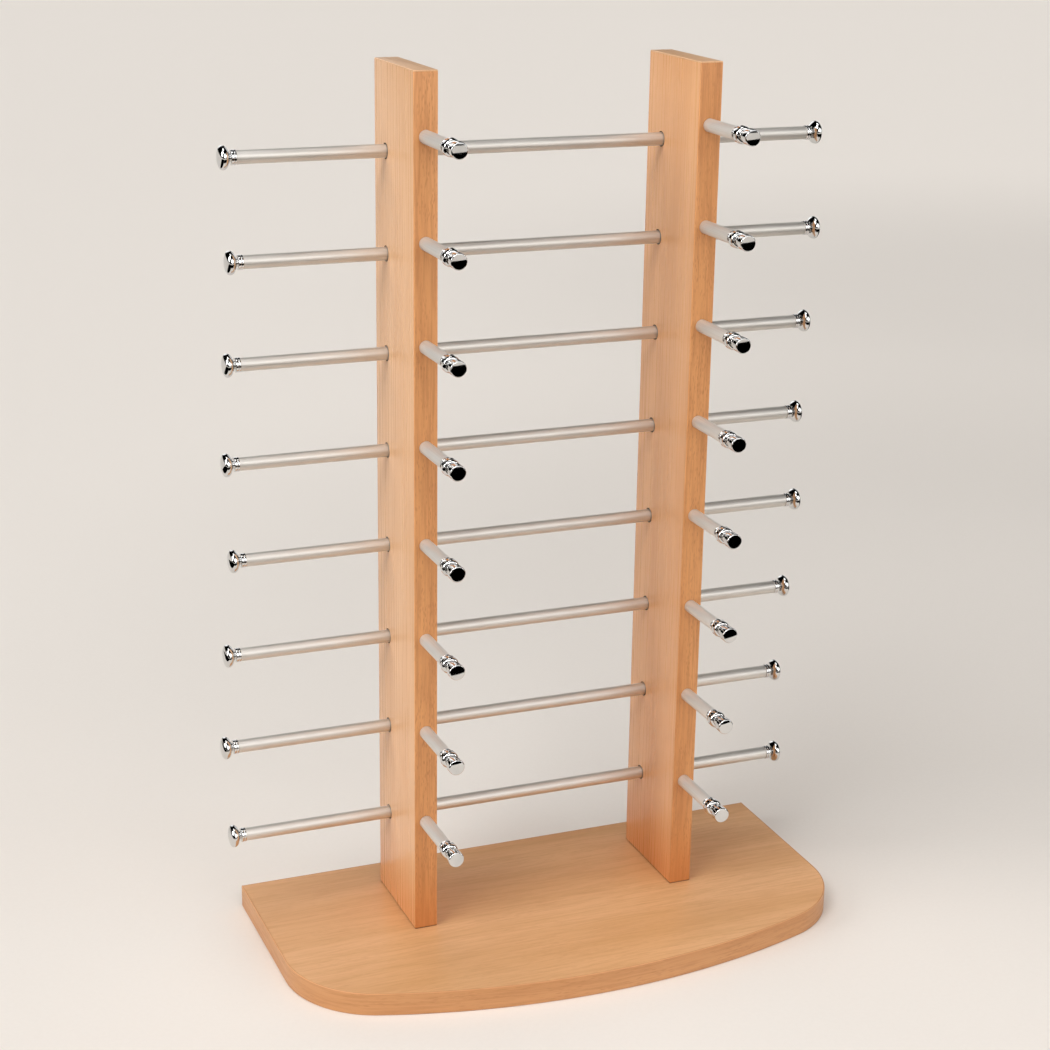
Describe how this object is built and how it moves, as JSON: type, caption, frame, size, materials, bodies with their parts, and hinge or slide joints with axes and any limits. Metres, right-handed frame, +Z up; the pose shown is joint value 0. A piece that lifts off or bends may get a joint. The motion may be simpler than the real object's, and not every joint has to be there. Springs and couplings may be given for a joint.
{
  "type": "eyeglass display rack",
  "caption": "Countertop rack that displays glasses on wooden uprights, with sliding metal rods behind and grooved pegs in front.",
  "frame": {"origin": "middle of the underside of the base board, on the surface that the rack stands on", "axes": "+X to the viewer's right along the long rods, +Y from the bowed front to the straight back, +Z up"},
  "size_m": [0.494, 0.23, 0.68],
  "materials": {
    "beech": "satin clear lacquer",
    "beech_upright": "satin clear lacquer",
    "beech_edging": "satin clear lacquer",
    "dowel_wood": "raw",
    "screw_steel": "zinc plated",
    "satin_aluminium": "satin anodised",
    "polished_chrome": "polished"
  },
  "bodies": {
    "stand": {"base_board": "beech", "base_front_edging": "beech_edging", "base_back_edging": "beech_edging", "left_upright": "beech_upright", "right_upright": "beech_upright", "left_upright_front_edging": "beech_edging", "right_upright_front_edging": "beech_edging", "upright_back_edging": "beech_edging", "upright_top_edging": "beech_edging", "upright_dowels": "dowel_wood", "upright_screws": "screw_steel", "left_peg_1": "satin_aluminium", "left_peg_2": "satin_aluminium", "left_peg_3": "satin_aluminium", "left_peg_4": "satin_aluminium", "left_peg_5": "satin_aluminium", "left_peg_6": "satin_aluminium", "left_peg_7": "satin_aluminium", "left_peg_8": "satin_aluminium", "right_peg_1": "satin_aluminium", "right_peg_2": "satin_aluminium", "right_peg_3": "satin_aluminium", "right_peg_4": "satin_aluminium", "right_peg_5": "satin_aluminium", "right_peg_6": "satin_aluminium", "right_peg_7": "satin_aluminium", "right_peg_8": "satin_aluminium", "left_peg_cap_1": "polished_chrome", "left_peg_cap_2": "polished_chrome", "left_peg_cap_3": "polished_chrome", "left_peg_cap_4": "polished_chrome", "left_peg_cap_5": "polished_chrome", "left_peg_cap_6": "polished_chrome", "left_peg_cap_7": "polished_chrome", "left_peg_cap_8": "polished_chrome", "right_peg_cap_1": "polished_chrome", "right_peg_cap_2": "polished_chrome", "right_peg_cap_3": "polished_chrome", "right_peg_cap_4": "polished_chrome", "right_peg_cap_5": "polished_chrome", "right_peg_cap_6": "polished_chrome", "right_peg_cap_7": "polished_chrome", "right_peg_cap_8": "polished_chrome"},
    "rod_1": {"long_rod_1": "satin_aluminium", "long_rod_knobs_1": "polished_chrome"},
    "rod_2": {"long_rod_2": "satin_aluminium", "long_rod_knobs_2": "polished_chrome"},
    "rod_3": {"long_rod_3": "satin_aluminium", "long_rod_knobs_3": "polished_chrome"},
    "rod_4": {"long_rod_4": "satin_aluminium", "long_rod_knobs_4": "polished_chrome"},
    "rod_5": {"long_rod_5": "satin_aluminium", "long_rod_knobs_5": "polished_chrome"},
    "rod_6": {"long_rod_6": "satin_aluminium", "long_rod_knobs_6": "polished_chrome"},
    "rod_7": {"long_rod_7": "satin_aluminium", "long_rod_knobs_7": "polished_chrome"},
    "rod_8": {"long_rod_8": "satin_aluminium", "long_rod_knobs_8": "polished_chrome"}
  },
  "joints": [
    {"name": "rod_1_slide", "type": "slide", "parent": "stand", "child": "rod_1", "axis": [1, 0, 0], "range_m": [-0.1045, 0.1105]},
    {"name": "rod_2_slide", "type": "slide", "parent": "stand", "child": "rod_2", "axis": [1, 0, 0], "range_m": [-0.1075, 0.1075]},
    {"name": "rod_3_slide", "type": "slide", "parent": "stand", "child": "rod_3", "axis": [1, 0, 0], "range_m": [-0.1035, 0.1115]},
    {"name": "rod_4_slide", "type": "slide", "parent": "stand", "child": "rod_4", "axis": [1, 0, 0], "range_m": [-0.1005, 0.1145]},
    {"name": "rod_5_slide", "type": "slide", "parent": "stand", "child": "rod_5", "axis": [1, 0, 0], "range_m": [-0.1035, 0.1115]},
    {"name": "rod_6_slide", "type": "slide", "parent": "stand", "child": "rod_6", "axis": [1, 0, 0], "range_m": [-0.0975, 0.1175]},
    {"name": "rod_7_slide", "type": "slide", "parent": "stand", "child": "rod_7", "axis": [1, 0, 0], "range_m": [-0.0935, 0.1215]},
    {"name": "rod_8_slide", "type": "slide", "parent": "stand", "child": "rod_8", "axis": [1, 0, 0], "range_m": [-0.0975, 0.1175]}
  ]
}
